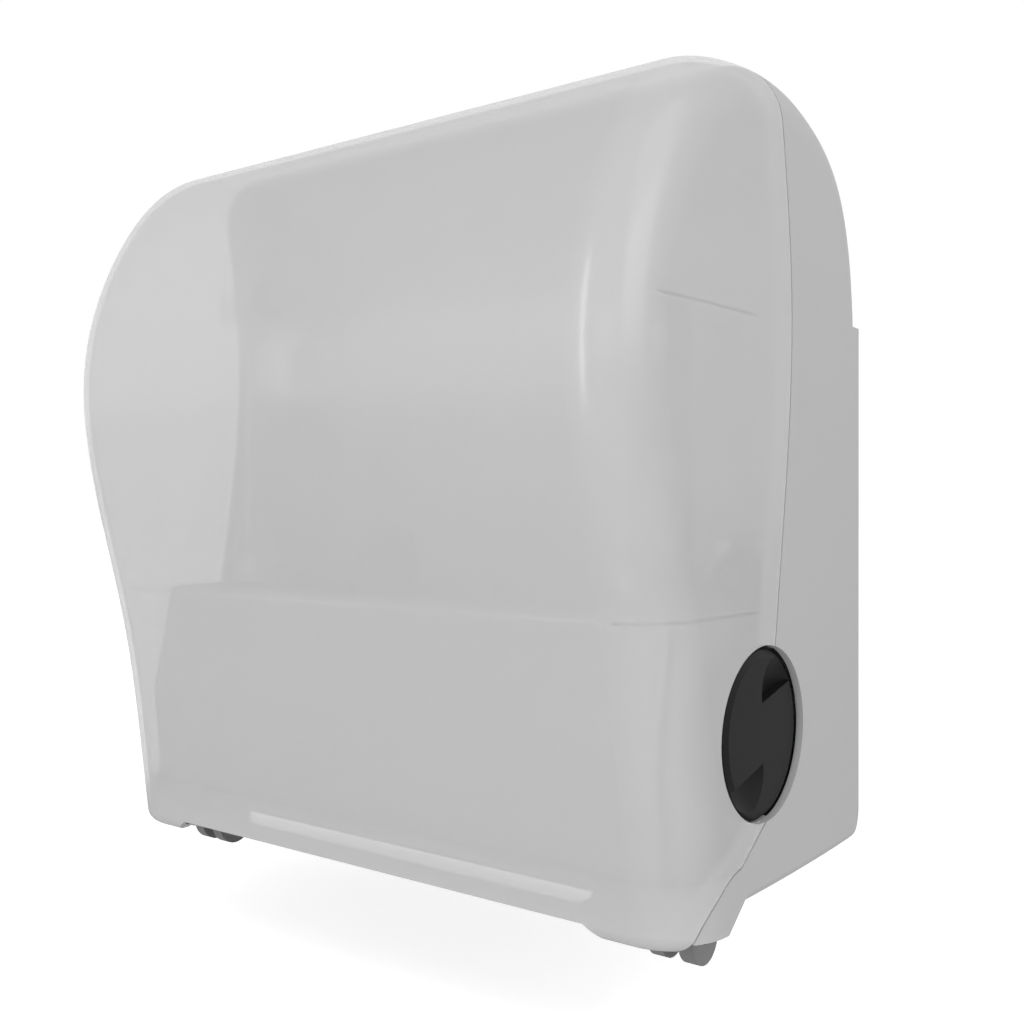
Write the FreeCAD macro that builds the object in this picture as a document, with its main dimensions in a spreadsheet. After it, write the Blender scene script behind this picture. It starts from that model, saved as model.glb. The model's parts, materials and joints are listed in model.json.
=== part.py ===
import FreeCAD, Part
import Sketcher
import math
import os

# Wall dispenser for roll towels with a see-through hinged cover, a feed drum and a side feed knob.
# Frame: origin on the wall face at the centre of the four wall screws, +X right, +Y into the
# wall, +Z up. Millimetres.

Vector = FreeCAD.Vector
doc = FreeCAD.newDocument("towel_dispenser")

SIZES = [
    # outer form shared by the case and the cover
    ("body_width", 336, "outside width across the side walls"),
    ("side_bow_radius", 1500, "plan radius of each side wall"),
    ("side_bow_back", 40, "how far ahead of the wall the side is widest"),
    ("edge_round", 27, "rounding between the side walls and the crown"),
    ("lip_round", 7, "rounding along the bottom edge of the cover"),
    ("tail_depth", -14, "outline point low behind the wall face, depth"),
    ("tail_height", 80, "outline point low behind the wall face, height"),
    ("shoulder_depth", -10, "outline point at the back shoulder, depth"),
    ("shoulder_height", 148, "outline point at the back shoulder, height"),
    ("back_crown_depth", 50, "outline point on the crown behind the seam, depth"),
    ("back_crown_height", 181.5, "outline point on the crown behind the seam, height"),
    ("crown_depth", 100, "outline point on the crown, depth"),
    ("crown_height", 180, "outline point on the crown, height"),
    ("brow_depth", 150, "outline point above the front, depth"),
    ("brow_height", 167.3, "outline point above the front, height"),
    ("front_high_depth", 186, "outline point on the upper front, depth"),
    ("front_high_height", 110, "outline point on the upper front, height"),
    ("belly_depth", 199, "outline point at the foremost bulge, depth"),
    ("belly_height", 56, "outline point at the foremost bulge, height"),
    ("waist_depth", 185.5, "outline point under the bulge, depth"),
    ("waist_height", -6.7, "outline point under the bulge, height"),
    ("front_low_depth", 168, "outline point on the lower front, depth"),
    ("front_low_height", -63.4, "outline point on the lower front, height"),
    ("foot_depth", 161, "outline point near the lower edge, depth"),
    ("foot_height", -111.7, "outline point near the lower edge, height"),
    ("lip_depth", 152.5, "outline point below the lower edge, depth"),
    ("lip_height", -180, "outline point below the lower edge, height"),
    ("cover_bottom", -164, "height of the cover's lowest edge, at its two ends"),
    ("cover_bottom_middle", -158.2, "height of the cover's edge above the towel exit"),
    ("raised_half_width", 118, "half width of the raised part of the cover's edge"),
    ("raised_slope", 10, "how far its slanting ends run outwards"),
    ("exit_half_width", 106, "half width of the exit slot"),
    # walls and joints between case and cover
    ("cover_wall", 2.4, "wall of the cover"),
    ("case_wall", 3, "wall of the rear case"),
    ("rim_wall", 2, "wall of the case rim that reaches under the cover"),
    ("rim_reach", 6, "how far the rim reaches under the cover"),
    ("lap_clearance", 0.4, "gap between the rim and the cover"),
    ("seam_gap", 0.8, "gap along the seam"),
    ("running_clearance", 0.05, "radial clearance of pins and shafts"),
    ("side_clearance", 0.5, "side play beside moving pieces"),
    # seam, seen from the side
    ("seam_top_depth", 92, "seam at the crown"),
    ("seam_high_depth", 83, "seam at the upper side"),
    ("seam_high_height", 148, "height of that point"),
    ("seam_middle_depth", 75.3, "seam where it comes nearest the wall"),
    ("seam_middle_height", 85, "height of that point"),
    ("seam_low_depth", 80.5, "seam at mid height"),
    ("seam_low_height", 9.5, "height of that point"),
    ("seam_knob_depth", 90.2, "seam above the knob hole"),
    ("seam_knob_height", -54, "height of that point"),
    ("seam_bend_depth", 96.5, "bend of the seam below the knob hole"),
    ("seam_bend_height", -123, "height of that point"),
    ("rib_high", 72.6, "upper stiffening rib inside the cover, height"),
    ("rib_low", -43, "lower stiffening rib inside the cover, height"),
    ("rib_front", 172, "front end of the ribs, depth"),
    ("rib_back", 101, "rear end of the ribs, depth"),
    ("seam_chin_radius", 31.5, "radius of the seam's arc about the hinge"),
    # floor and chin of the case
    ("floor_height", -152, "underside of the case"),
    ("chin_back_depth", 118, "where the chin starts to drop"),
    ("chin_front_depth", 128, "where the chin reaches its lowest"),
    ("chin_height", -160.2, "underside of the chin"),
    ("floor_round", 4, "rounding of the floor's side edges"),
    ("heel_round", 13, "rounding between the floor and the back"),
    ("exit_back_depth", 104, "rear edge of the towel exit"),
    ("exit_front_depth", 139, "front edge of the towel exit"),
    # wall screws
    ("screw_spacing_x", 200, "wall screws, across"),
    ("screw_spacing_z", 170, "wall screws, up and down"),
    ("screw_hole_radius", 2.75, "wall screw holes"),
    ("screw_pad_radius", 8, "pads round the wall screw holes"),
    ("screw_pad_height", 2.5, "how far the pads stand in from the back wall"),
    ("seat_gap", 0.3, "gap between pieces that rest on each other"),
    # hinge
    ("hinge_depth", 114, "hinge axis, depth"),
    ("hinge_height", -169, "hinge axis, height"),
    ("hinge_inner", 128, "inner end of a hinge barrel from the middle"),
    ("hinge_length", 20.5, "length of a hinge barrel"),
    ("hinge_barrel_radius", 10.5, "radius of a hinge barrel"),
    ("hinge_pin_radius", 2.5, "radius of a hinge pin"),
    ("ear_width", 6.5, "width of a cover ear"),
    ("ear_radius", 5.5, "radius of the ear's eye"),
    ("hinge_foot_depth", 12, "foot of a hinge block, front to back"),
    ("ear_root_depth", 149.5, "where an ear grows out of the cover's lip"),
    ("ear_root_thickness", 1.8, "thickness of the ear at that end"),
    # mechanism
    ("drum_depth", 99.3, "drum axis, depth"),
    ("drum_height", -89.7, "drum axis, height"),
    ("drum_radius", 38, "outside radius of the drum"),
    ("drum_wall", 3, "wall of the drum shell"),
    ("drum_length", 232, "length of the drum"),
    ("drum_end_thickness", 4, "thickness of a drum end"),
    ("shaft_radius", 4, "drum shaft"),
    ("plate_thickness", 3, "mechanism side plates"),
    ("plate_gap", 294, "distance between the mechanism plates"),
    ("plate_top", -43, "top of the mechanism plates"),
    ("plate_front_top", 134, "front edge of the plates at the top, depth"),
    ("plate_front_middle", 143, "front edge of the plates at mid height, depth"),
    ("plate_front_bottom", 136, "front edge of the plates at the bottom, depth"),
    ("plate_middle", -97, "height of the foremost point of the plates"),
    ("guide_wall", 2, "wall of the towel guides"),
    ("guide_split", -95.3, "height of the joint between front guide and lower guard"),
    ("guide_top_depth", 141, "top of the front guide, depth"),
    ("guide_middle_depth", 152, "foremost point of the front guide"),
    ("guide_bottom_depth", 146, "bottom of the front guide, depth"),
    ("guide_radius", 44, "rear guide's radius about the drum"),
    ("roller_radius", 11, "pressure roller"),
    ("nip_gap", 0.4, "gap between the drum and the pressure roller"),
    ("roller_shaft_radius", 3, "pressure roller shaft"),
    ("sleeve_length", 34, "length of a rubber sleeve"),
    ("roller_travel", 1.5, "how far the pressure roller gives way"),
    ("bearing_size", 15, "bearing block, front to back and up and down"),
    ("tie_radius", 4, "tie bars"),
    ("tie_depth", 30, "tie bars, depth"),
    ("tie_high", -60, "upper tie bar"),
    ("tie_low", -130, "lower tie bar"),
    ("band_width", 10, "rubber bands on the drum"),
    ("band_depth", 1, "depth of the grooves for the bands"),
    ("band_pitch", 52, "distance between the bands"),
    ("knife_slot_ahead", 6, "front edge of the knife slot from the drum axis"),
    ("knife_slot_behind", 8, "rear edge of the knife slot from the drum axis"),
    ("knife_pivot_back", 22, "knife pivot behind the drum axis"),
    ("knife_pivot_up", 10, "knife pivot above the drum axis"),
    ("knife_rod_radius", 2.5, "knife rod"),
    ("blade_reach", 35.5, "blade tips above the drum axis at rest"),
    ("blade_thickness", 1, "knife blade"),
    ("tooth_pitch", 4, "teeth of the blade"),
    ("tooth_height", 2.5, "teeth of the blade"),
    ("cam_base_radius", 13.8, "round part of the knife cam"),
    ("cam_lift", 5.6, "how far the cam's lobe lifts the follower"),
    ("cam_lobe_radius", 8, "rounding of the cam's lobe"),
    ("cam_lobe_angle", 309, "direction of the lobe about the drum axis, degrees"),
    ("cam_width", 7, "width of the knife cam"),
    ("cam_shift", 7.5, "how far the cam slides from its loading place to the follower"),
    ("cam_sleeve_half", 6.5, "half width of the square sleeve that the cam slides on"),
    ("follower_radius", 4, "cam follower"),
    ("ratchet_radius", 24, "ratchet wheel"),
    ("ratchet_teeth", 24, "teeth of the ratchet wheel"),
    ("ratchet_tooth_depth", 2.5, "depth of the ratchet teeth"),
    ("crank_radius", 22, "crank wheel"),
    ("crank_throw", 16, "crank pin from the drum axis"),
    ("crank_pin_radius", 2.2, "crank pin and the spring's anchor post"),
    ("spring_radius", 3, "return spring, outside"),
    ("spring_wire", 1, "wire of the springs, thickness"),
    ("spring_anchor_depth", 42, "anchor post of the return spring, depth"),
    # side hole and feed knob
    ("knob_hole_radius", 34.5, "hole in the right side"),
    ("knob_radius", 33.6, "feed knob"),
    ("knob_face", 165.6, "outer face of the feed knob from the middle"),
    ("knob_depth", 8, "thickness of the feed knob"),
    # roll holder
    ("roll_depth", 92, "roll axis, depth"),
    ("roll_height", 70, "roll axis, height"),
    ("arm_inner", 112, "inner face of a roll arm from the middle"),
    ("arm_thickness", 4, "thickness of a roll arm"),
    ("arm_head_radius", 27, "head of a roll arm"),
    ("arm_back_depth", 62, "rear edge of the arm's leg"),
    ("arm_front_depth", 118, "front edge of the arm's leg"),
    ("arm_pivot_height", -32, "pivot of the roll arms"),
    ("arm_pin_radius", 2.5, "pivot pins of the roll arms"),
    ("arm_stem_radius", 6, "hole in a roll arm for the hub's stem"),
    ("hub_radius", 19, "roll hub, fits a 38 mm core"),
    ("hub_length", 16, "how far a hub reaches into the core"),
    # lock
    ("lock_depth", 60, "lock axis, depth"),
    ("lock_height", 120, "lock axis, height"),
    ("lock_radius", 8.5, "lock barrel"),
    ("lock_arm", 46, "reach of the lock cam"),
    ("lock_arm_width", 10, "width of the lock cam's arm"),
]

sheet = doc.addObject("Spreadsheet::Sheet", "sizes")
for row, (alias, number, note) in enumerate(SIZES, start=1):
    sheet.set("A%d" % row, alias)
    sheet.set("B%d" % row, str(number))
    sheet.set("C%d" % row, note)
    sheet.setAlias("B%d" % row, alias)
doc.recompute()


class Size:
    # A number that keeps its formula, so that what it sets stays bound to the sheet.
    def __init__(self, value, formula):
        self.value = float(value)
        self.formula = formula

    def __add__(self, other):
        other = as_size(other)
        return Size(self.value + other.value, "(%s + %s)" % (self.formula, other.formula))

    def __radd__(self, other):
        return as_size(other) + self

    def __sub__(self, other):
        other = as_size(other)
        return Size(self.value - other.value, "(%s - %s)" % (self.formula, other.formula))

    def __rsub__(self, other):
        return as_size(other) - self

    def __mul__(self, other):
        other = as_size(other)
        return Size(self.value * other.value, "(%s * %s)" % (self.formula, other.formula))

    def __rmul__(self, other):
        return as_size(other) * self

    def __truediv__(self, other):
        other = as_size(other)
        return Size(self.value / other.value, "(%s / %s)" % (self.formula, other.formula))

    def __neg__(self):
        return Size(-self.value, "(0 - %s)" % self.formula)


def as_size(number):
    return number if isinstance(number, Size) else Size(number, repr(float(number)))


def size(alias):
    return Size(sheet.get(alias), "sizes.%s" % alias)


def mm(alias):
    return float(sheet.get(alias))


def bind(obj, path, length):
    obj.setExpression(path, as_size(length).formula)


nodes = []


def keep(obj, label):
    obj.Label = label
    nodes.append(obj)
    return obj


# PartDesign helpers: a body, a sketch on one of its origin planes, and features on it

def new_body(label, kept=True):
    body = doc.addObject("PartDesign::Body", label)
    return keep(body, label) if kept else body


def new_sketch(body, plane, shift=0):
    sketch = body.newObject("Sketcher::SketchObject", body.Label + "_outline")
    origin_plane = [f for f in body.Origin.OriginFeatures if f.Role == plane][0]
    sketch.AttachmentSupport = (origin_plane, [""])
    sketch.MapMode = "FlatFace"
    bind(sketch, ".AttachmentOffset.Base.z", shift)
    return sketch


def fix_point(sketch, geometry, corner, x, y):
    for kind, place in (("DistanceX", as_size(x)), ("DistanceY", as_size(y))):
        number = sketch.addConstraint(
            Sketcher.Constraint(kind, -1, 1, geometry, corner, place.value))
        bind(sketch, "Constraints[%d]" % number, place)


def draw_outline(sketch, corners):
    corners = [(as_size(x), as_size(y)) for x, y in corners]
    places = [Vector(x.value, y.value, 0) for x, y in corners]
    first = None
    for index, place in enumerate(places):
        line = sketch.addGeometry(Part.LineSegment(place, places[(index + 1) % len(places)]))
        first = line if first is None else first
        fix_point(sketch, line, 1, *corners[index])
        if index:
            sketch.addConstraint(Sketcher.Constraint("Coincident", line - 1, 2, line, 1))
    sketch.addConstraint(Sketcher.Constraint("Coincident", line, 2, first, 1))


def draw_circle(sketch, x, y, radius):
    x, y, radius = as_size(x), as_size(y), as_size(radius)
    circle = sketch.addGeometry(
        Part.Circle(Vector(x.value, y.value, 0), Vector(0, 0, 1), radius.value))
    fix_point(sketch, circle, 3, x, y)
    number = sketch.addConstraint(Sketcher.Constraint("Radius", circle, radius.value))
    bind(sketch, "Constraints[%d]" % number, radius)


def add_pad(body, sketch, length, centred=False):
    pad = body.newObject("PartDesign::Pad", body.Label + "_pad")
    pad.Profile = sketch
    pad.Midplane = centred
    bind(pad, "Length", length)
    return pad


def place(obj, x=0, y=0, z=0):
    for path, length in (("x", x), ("y", y), ("z", z)):
        bind(obj, ".Placement.Base.%s" % path, length)
    return obj


def slab(label, left, thickness, corners, holes=(), kept=True):
    # a flat piece standing across X, drawn in the side view
    body = new_body(label, kept)
    sketch = new_sketch(body, "YZ_Plane", left)
    draw_outline(sketch, corners)
    for y, z, radius in holes:
        draw_circle(sketch, y, z, radius)
    add_pad(body, sketch, thickness)
    return body


def rail(label, length, corners, holes=(), kept=True):
    # a piece of one section that runs across the dispenser
    body = new_body(label, kept)
    sketch = new_sketch(body, "YZ_Plane")
    draw_outline(sketch, corners)
    for y, z, radius in holes:
        draw_circle(sketch, y, z, radius)
    add_pad(body, sketch, length, centred=True)
    return body


def turned(label, corners, y, z, kept=True):
    # a piece turned about an axis along X
    body = new_body(label, kept)
    sketch = new_sketch(body, "XY_Plane")
    draw_outline(sketch, corners)
    turn = body.newObject("PartDesign::Revolution", label + "_turn")
    turn.Profile = sketch
    turn.ReferenceAxis = (sketch, ["H_Axis"])
    turn.Angle = 360
    return place(body, 0, y, z)


# Part helpers

def rod(name, left, length, y, z, radius):
    piece = doc.addObject("Part::Cylinder", name)
    bind(piece, "Radius", radius)
    bind(piece, "Height", length)
    piece.Placement.Rotation = FreeCAD.Rotation(Vector(0, 1, 0), 90)
    return place(piece, left, y, z)


def post(name, x, back, length, z, radius):
    # a round piece along Y, from its back end forward
    piece = doc.addObject("Part::Cylinder", name)
    bind(piece, "Radius", radius)
    bind(piece, "Height", length)
    piece.Placement.Rotation = FreeCAD.Rotation(Vector(1, 0, 0), 90)
    return place(piece, x, back, z)


def block(name, left, right, front, back, bottom, top):
    piece = doc.addObject("Part::Box", name)
    bind(piece, "Length", as_size(right) - left)
    bind(piece, "Width", as_size(back) - front)
    bind(piece, "Height", as_size(top) - bottom)
    return place(piece, left, front, bottom)


def joined(name, pieces):
    piece = doc.addObject("Part::MultiFuse", name)
    piece.Shapes = pieces
    return piece


def cut(name, base, tools):
    tool = tools[0] if len(tools) == 1 else joined(name + "_cuts", tools)
    piece = doc.addObject("Part::Cut", name)
    piece.Base = base
    piece.Tool = tool
    return piece


def group(name, pieces):
    piece = doc.addObject("Part::Compound", name)
    piece.Links = pieces
    return piece


def form(name, shape):
    piece = doc.addObject("Part::Feature", name)
    piece.Shape = shape
    return piece


# Places that several pieces share

drum_y = -size("drum_depth")
drum_z = size("drum_height")
hinge_y = -size("hinge_depth")
hinge_z = size("hinge_height")
roll_y = -size("roll_depth")
roll_z = size("roll_height")
lock_y = -size("lock_depth")
lock_z = size("lock_height")
clearance = size("running_clearance")
play = size("side_clearance")
half_width = size("body_width") / 2
plate_inner = size("plate_gap") / 2
plate_outer = plate_inner + size("plate_thickness")
roller_y = drum_y + size("drum_radius") + size("nip_gap") + size("roller_radius")
plate_back = -size("case_wall") - size("seat_gap")
plate_bottom = size("floor_height") + size("case_wall") + size("seat_gap")
tab_places = [size("tie_high") - 4, size("tie_low") + 12]
base_top = size("arm_pivot_height") - 6
base_screw_places = [(side * (size("arm_inner") + dx), base_top + 16)
                     for side in (-1, 1) for dx in (-8, 12)]


# Outer form: the side outline swept across, the bowed sides cut off it, the edges rounded

def side_outline(inset):
    names = ("tail", "shoulder", "back_crown", "crown", "brow", "front_high", "belly",
             "waist", "front_low", "foot", "lip")
    poles = [Vector(0, -mm(name + "_depth"), mm(name + "_height")) for name in names]
    outline = Part.BSplineCurve()
    outline.buildFromPoles(poles, False, 3)
    if inset == 0:
        return outline
    steps = 16
    points = []
    for step in range(steps + 1):
        at = outline.FirstParameter
        at += (outline.LastParameter - outline.FirstParameter) * step / steps
        along = outline.tangent(at)[0]
        points.append(outline.value(at) - Vector(0, along.z, -along.y) * inset)
    inner = Part.BSplineCurve()
    inner.interpolate(points)
    return inner


def side_half_width(y, inset):
    radius = mm("side_bow_radius")
    run = y + mm("side_bow_back")
    return mm("body_width") / 2 - inset - radius + math.sqrt(radius ** 2 - run ** 2)


def outer_form(inset, behind, round_bottom=False):
    # the whole closed form, made smaller all round by inset, its back at Y = behind
    outline = side_outline(inset)
    top = outline.value(outline.FirstParameter)
    low = outline.value(outline.LastParameter)
    back = max(top.y, behind) + 10
    bottom = mm("cover_bottom") + inset
    corners = [low, Vector(0, back, low.z), Vector(0, back, top.z), top]
    lines = [Part.makeLine(a, b) for a, b in zip(corners, corners[1:])]
    width = mm("body_width")
    solid = Part.Face(Part.Wire([outline.toShape()] + lines)).extrude(Vector(2 * width, 0, 0))
    solid.translate(Vector(-width, 0, 0))
    front = -2 * mm("belly_depth")
    right = [Vector(side_half_width(y, inset), y, 0) for y in (back + 5, (back + front) / 2, front)]
    left = [Vector(-p.x, p.y, 0) for p in reversed(right)]
    plan = Part.Wire([Part.Arc(*right).toShape(), Part.makeLine(right[2], left[0]),
                      Part.Arc(*left).toShape(), Part.makeLine(left[2], right[0])])
    plan = Part.Face(plan).extrude(Vector(0, 0, 4 * width))
    plan.translate(Vector(0, 0, -2 * width))
    solid = solid.common(plan)
    long_edges = [e for e in solid.Edges
                  if e.BoundBox.ZLength > width / 2 and e.BoundBox.YLength > mm("edge_round")]
    solid = solid.makeFillet(mm("edge_round") - inset, long_edges)
    keep_box = Part.makeBox(3 * width, 4 * width, 4 * width,
                            Vector(-1.5 * width, behind - 4 * width, bottom))
    solid = solid.common(keep_box)
    if not round_bottom:
        return solid
    bottom_edges = [e for e in solid.Edges
                    if e.BoundBox.ZMax < bottom + 0.01 and e.BoundBox.YMin < behind - 0.01]
    return solid.makeFillet(mm("lip_round") - inset, bottom_edges)


def behind_seam(ahead):
    # everything on the wall's side of the seam, moved ahead by a distance
    points = [Vector(0, -mm(name + "_depth") - ahead, height) for name, height in (
        ("seam_top", mm("crown_height") + 20), ("seam_high", mm("seam_high_height")),
        ("seam_middle", mm("seam_middle_height")), ("seam_low", mm("seam_low_height")),
        ("seam_knob", mm("seam_knob_height")), ("seam_bend", mm("seam_bend_height") + ahead))]
    spine = Part.BSplineCurve()
    spine.interpolate(points)
    radius = mm("seam_chin_radius") + ahead
    centre = Vector(0, -mm("hinge_depth"), mm("hinge_height"))
    start, middle, end = [
        centre + Vector(0, radius * math.cos(math.radians(a)), radius * math.sin(math.radians(a)))
        for a in (98, 135, 180)]
    low = Vector(0, end.y, centre.z - 40)
    high = Vector(0, 60, points[0].z)
    lines = [(points[-1], start), (end, low), (low, Vector(0, 60, low.z)),
             (Vector(0, 60, low.z), high), (high, points[0])]
    wire = Part.Wire([spine.toShape(), Part.makeLine(*lines[0]),
                      Part.Arc(start, middle, end).toShape()]
                     + [Part.makeLine(a, b) for a, b in lines[1:]])
    width = mm("body_width")
    solid = Part.Face(wire).extrude(Vector(2 * width, 0, 0))
    solid.translate(Vector(-width, 0, 0))
    return solid


def below_floor(up):
    # everything under the case's floor and chin, raised by a wall
    width = mm("body_width")
    floor = mm("floor_height") + up
    chin = mm("chin_height") + up
    back = mm("chin_back_depth") + up
    front = mm("chin_front_depth") + up
    corners = [(60, floor), (-back, floor), (-front, chin), (-400, chin), (-400, -400), (60, -400)]
    points = [Vector(0, y, z) for y, z in corners]
    solid = Part.Face(Part.makePolygon(points + points[:1])).extrude(Vector(2 * width, 0, 0))
    solid.translate(Vector(-width, 0, 0))
    return solid


def below_heel(up):
    # what the rounding between the floor and the back takes away
    width = mm("body_width")
    radius = mm("heel_round") - up
    floor = mm("floor_height") + up
    heel = -up - radius
    swing = radius * math.sqrt(0.5)
    corners = [(-up, floor + radius), (60, floor + radius), (60, floor - 60), (heel, floor - 60),
               (heel, floor)]
    points = [Vector(0, y, z) for y, z in corners]
    arc = Part.Arc(points[-1], Vector(0, heel + swing, floor + radius - swing), points[0])
    outline = Part.Wire([Part.makePolygon(points), arc.toShape()])
    solid = Part.Face(outline).extrude(Vector(2 * width, 0, 0))
    solid.translate(Vector(-width, 0, 0))
    return solid


# Rear case: outer skin behind the seam, a thinner rim under the cover, and a hollow inside

def side_hole(left, length, y, z, radius):
    return Part.makeCylinder(radius, length, Vector(left, y.value, z.value), Vector(1, 0, 0))


knob_hole = side_hole(mm("body_width") / 2 - 20, 30, drum_y, drum_z, mm("knob_hole_radius"))
lock_hole = side_hole(-mm("body_width") / 2 - 5, 15, lock_y, lock_z,
                      mm("lock_radius") + mm("running_clearance"))
case_skin = outer_form(0, 0).common(behind_seam(0)).cut(below_floor(0))
floor_edges = [e for e in case_skin.Edges
               if e.BoundBox.XLength < 10 and e.BoundBox.ZLength < 0.01
               and abs(e.BoundBox.ZMax - mm("floor_height")) < 0.01 and e.BoundBox.YLength > 50]
case_skin = case_skin.makeFillet(mm("floor_round"), floor_edges).cut(below_heel(0))
case_skin = case_skin.cut(knob_hole).cut(lock_hole)
rim_start = mm("cover_wall") + mm("lap_clearance")
case_rim = outer_form(rim_start, 5, round_bottom=True).common(
    behind_seam(mm("rim_reach"))).cut(below_floor(0.5)).common(
    Part.makeBox(2 * mm("body_width"), 400, 600, Vector(-mm("body_width"), -400, -300)))
case_rim = case_rim.cut(below_heel(0)).cut(knob_hole).cut(lock_hole)
case_block = case_skin.fuse(case_rim)
rim_inside = outer_form(rim_start + mm("rim_wall"), -mm("case_wall")).cut(
    below_floor(mm("case_wall"))).cut(below_heel(mm("case_wall")))
case_inside = outer_form(mm("case_wall"), -mm("case_wall")).common(
    behind_seam(-2 * mm("rim_wall"))).cut(below_floor(mm("case_wall")))
case_inside = case_inside.cut(below_heel(mm("case_wall")))
case_block = case_block.cut(rim_inside).cut(case_inside)
case_shell = form("case_shell", case_block.removeSplitter())

screw_places = [(sx * size("screw_spacing_x") / 2, sz * size("screw_spacing_z") / 2)
                for sx in (-1, 1) for sz in (-1, 1)]
pads = [post("screw_pad", x, -size("case_wall") + 1, size("screw_pad_height") + 1, z,
             size("screw_pad_radius")) for x, z in screw_places]
screw_holes = [post("screw_hole", x, 5, 20, z, size("screw_hole_radius"))
               for x, z in screw_places]
exit_slot = block("exit_slot", -size("exit_half_width"), size("exit_half_width"),
                  -size("exit_front_depth"), -size("exit_back_depth"),
                  size("chin_height") - 5, size("floor_height") + 10)
post_places = [(side * (plate_inner - 7), z) for side in (-1, 1) for z in tab_places]
post_back = -size("case_wall") + 0.5
post_length = post_back - plate_back + 11 - size("seat_gap")
posts = [post("mechanism_post", x, post_back, post_length, z, size("screw_pad_radius") - 2)
         for x, z in post_places]
shank_radius = size("screw_hole_radius") - 0.25
post_bores = [post("post_bore", x, -size("case_wall") - 2, 30, z, shank_radius + clearance)
              for x, z in post_places]
base_bores = [post("base_bore", x, -1, 30, z, shank_radius + clearance)
              for x, z in base_screw_places]
rear_case = keep(cut("rear_case", joined("case_with_pads", [case_shell] + pads + posts),
                     screw_holes + post_bores + base_bores + [exit_slot]),
                 "rear_case")


# Front cover: the same form ahead of the seam, hollow, with ears that reach the hinge pins

cover_skin = outer_form(0, 0, round_bottom=True).cut(behind_seam(mm("seam_gap"))).cut(knob_hole)
cover_skin = cover_skin.cut(outer_form(mm("cover_wall"), 5, True))
cover_shell = form("cover_shell", cover_skin.removeSplitter())
raised_height = mm("cover_bottom_middle")
raised_corners = [Vector(sx * (mm("raised_half_width") + out), 0, height) for sx, out, height in (
    (-1, mm("raised_slope"), mm("cover_bottom") - 1), (-1, 0, raised_height),
    (1, 0, raised_height), (1, mm("raised_slope"), mm("cover_bottom") - 1))]
raised_edge = form("raised_edge", Part.Face(Part.makePolygon(
    raised_corners + raised_corners[:1])).extrude(Vector(0, -mm("belly_depth"), 0)))
cover_opened = cut("cover_opened", cover_shell, [raised_edge])
hinge_middle = size("hinge_inner") + size("hinge_length") / 2


def ear(side):
    # arm from the cover's lip, under the chin, to an eye round the hinge pin
    left = side * hinge_middle - size("ear_width") / 2
    root_y = -size("ear_root_depth")
    root_z = size("cover_bottom") + 3.9
    top = size("chin_height") - 1.2
    eye = size("ear_radius")
    arm = slab("cover_ear_arm", left, size("ear_width"), [
        (root_y, root_z), (root_y + 6, top), (-size("chin_front_depth"), top - 0.6),
        (hinge_y, hinge_z + eye), (hinge_y, hinge_z - eye), (root_y + 4, root_z - 3.6),
        (root_y, root_z - size("ear_root_thickness"))], kept=False)
    return [arm, rod("cover_ear_eye", left, size("ear_width"), hinge_y, hinge_z, eye)]


# Cover with ears, the lock's catch, and two low stiffening ribs inside the wall

rib_band = outer_form(mm("cover_wall") - 0.5, 5).cut(outer_form(mm("cover_wall") + 2, 5))
rib_boxes = [Part.makeBox(mm("body_width"), mm("rib_front") - mm("rib_back"), 1.4,
                          Vector(-mm("body_width") / 2, -mm("rib_front"), height))
             for height in (mm("rib_high"), mm("rib_low"))]
cover_ribs = form("cover_ribs", rib_band.common(Part.makeCompound(rib_boxes)))
catch_x = -half_width + size("cover_wall")
catch_y = lock_y - size("lock_arm") + size("lock_arm_width")
catch = block("cover_catch", catch_x + 0.5, catch_x + 16, catch_y - 3, catch_y,
              lock_z - 20, lock_z - size("lock_arm_width") / 2 - play)
pin_bores = [rod("pin_bore", side * hinge_middle - 15, 30, hinge_y, hinge_z,
                 size("hinge_pin_radius") + clearance) for side in (-1, 1)]
cover_with_ears = joined("cover_with_ears", [cover_opened, cover_ribs, catch] + ear(-1) + ear(1))
front_cover = keep(cut("front_cover", cover_with_ears, pin_bores), "front_cover")


# Hinge blocks under the case, each with a slot for the cover's ear, and their pins

def hinge_block(side, name):
    left = side * hinge_middle - size("hinge_length") / 2
    right = side * hinge_middle + size("hinge_length") / 2
    barrel = rod(name + "_barrel", left, size("hinge_length"), hinge_y, hinge_z,
                 size("hinge_barrel_radius"))
    foot_front = -size("chin_back_depth") + 1
    foot = block(name + "_foot", left + 1.5, right - 1.5, foot_front,
                 foot_front + size("hinge_foot_depth"), hinge_z, size("floor_height"))
    slot_left = side * hinge_middle - size("ear_width") / 2 - play
    slot_right = side * hinge_middle + size("ear_width") / 2 + play
    eye_room = size("ear_radius") + 1
    low = hinge_z - size("hinge_barrel_radius") - 1
    front = hinge_y - size("hinge_barrel_radius") - 1
    slot_front = block(name + "_slot_front", slot_left, slot_right, front, foot_front - 0.5,
                       low, hinge_z + size("hinge_barrel_radius") + 1)
    slot_eye = block(name + "_slot_eye", slot_left, slot_right, front, hinge_y + eye_room,
                     low, hinge_z + eye_room)
    bore = rod(name + "_bore", left - 1, size("hinge_length") + 2, hinge_y, hinge_z,
               size("hinge_pin_radius") + clearance)
    recess_left = left - 1 if side > 0 else right - 3
    recess = rod(name + "_recess", recess_left, 4, hinge_y, hinge_z,
                 size("hinge_barrel_radius") - 4.5)
    return cut(name, joined(name + "_solid", [barrel, foot]),
               [slot_front, slot_eye, bore, recess])


for side, word in ((-1, "left"), (1, "right")):
    keep(hinge_block(side, "hinge_block_" + word), "hinge_block_" + word)
    keep(rod("hinge_pin_" + word, side * hinge_middle - size("hinge_length") / 2 + 3,
             size("hinge_length") - 6, hinge_y, hinge_z, size("hinge_pin_radius")),
         "hinge_pin_" + word)


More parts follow.
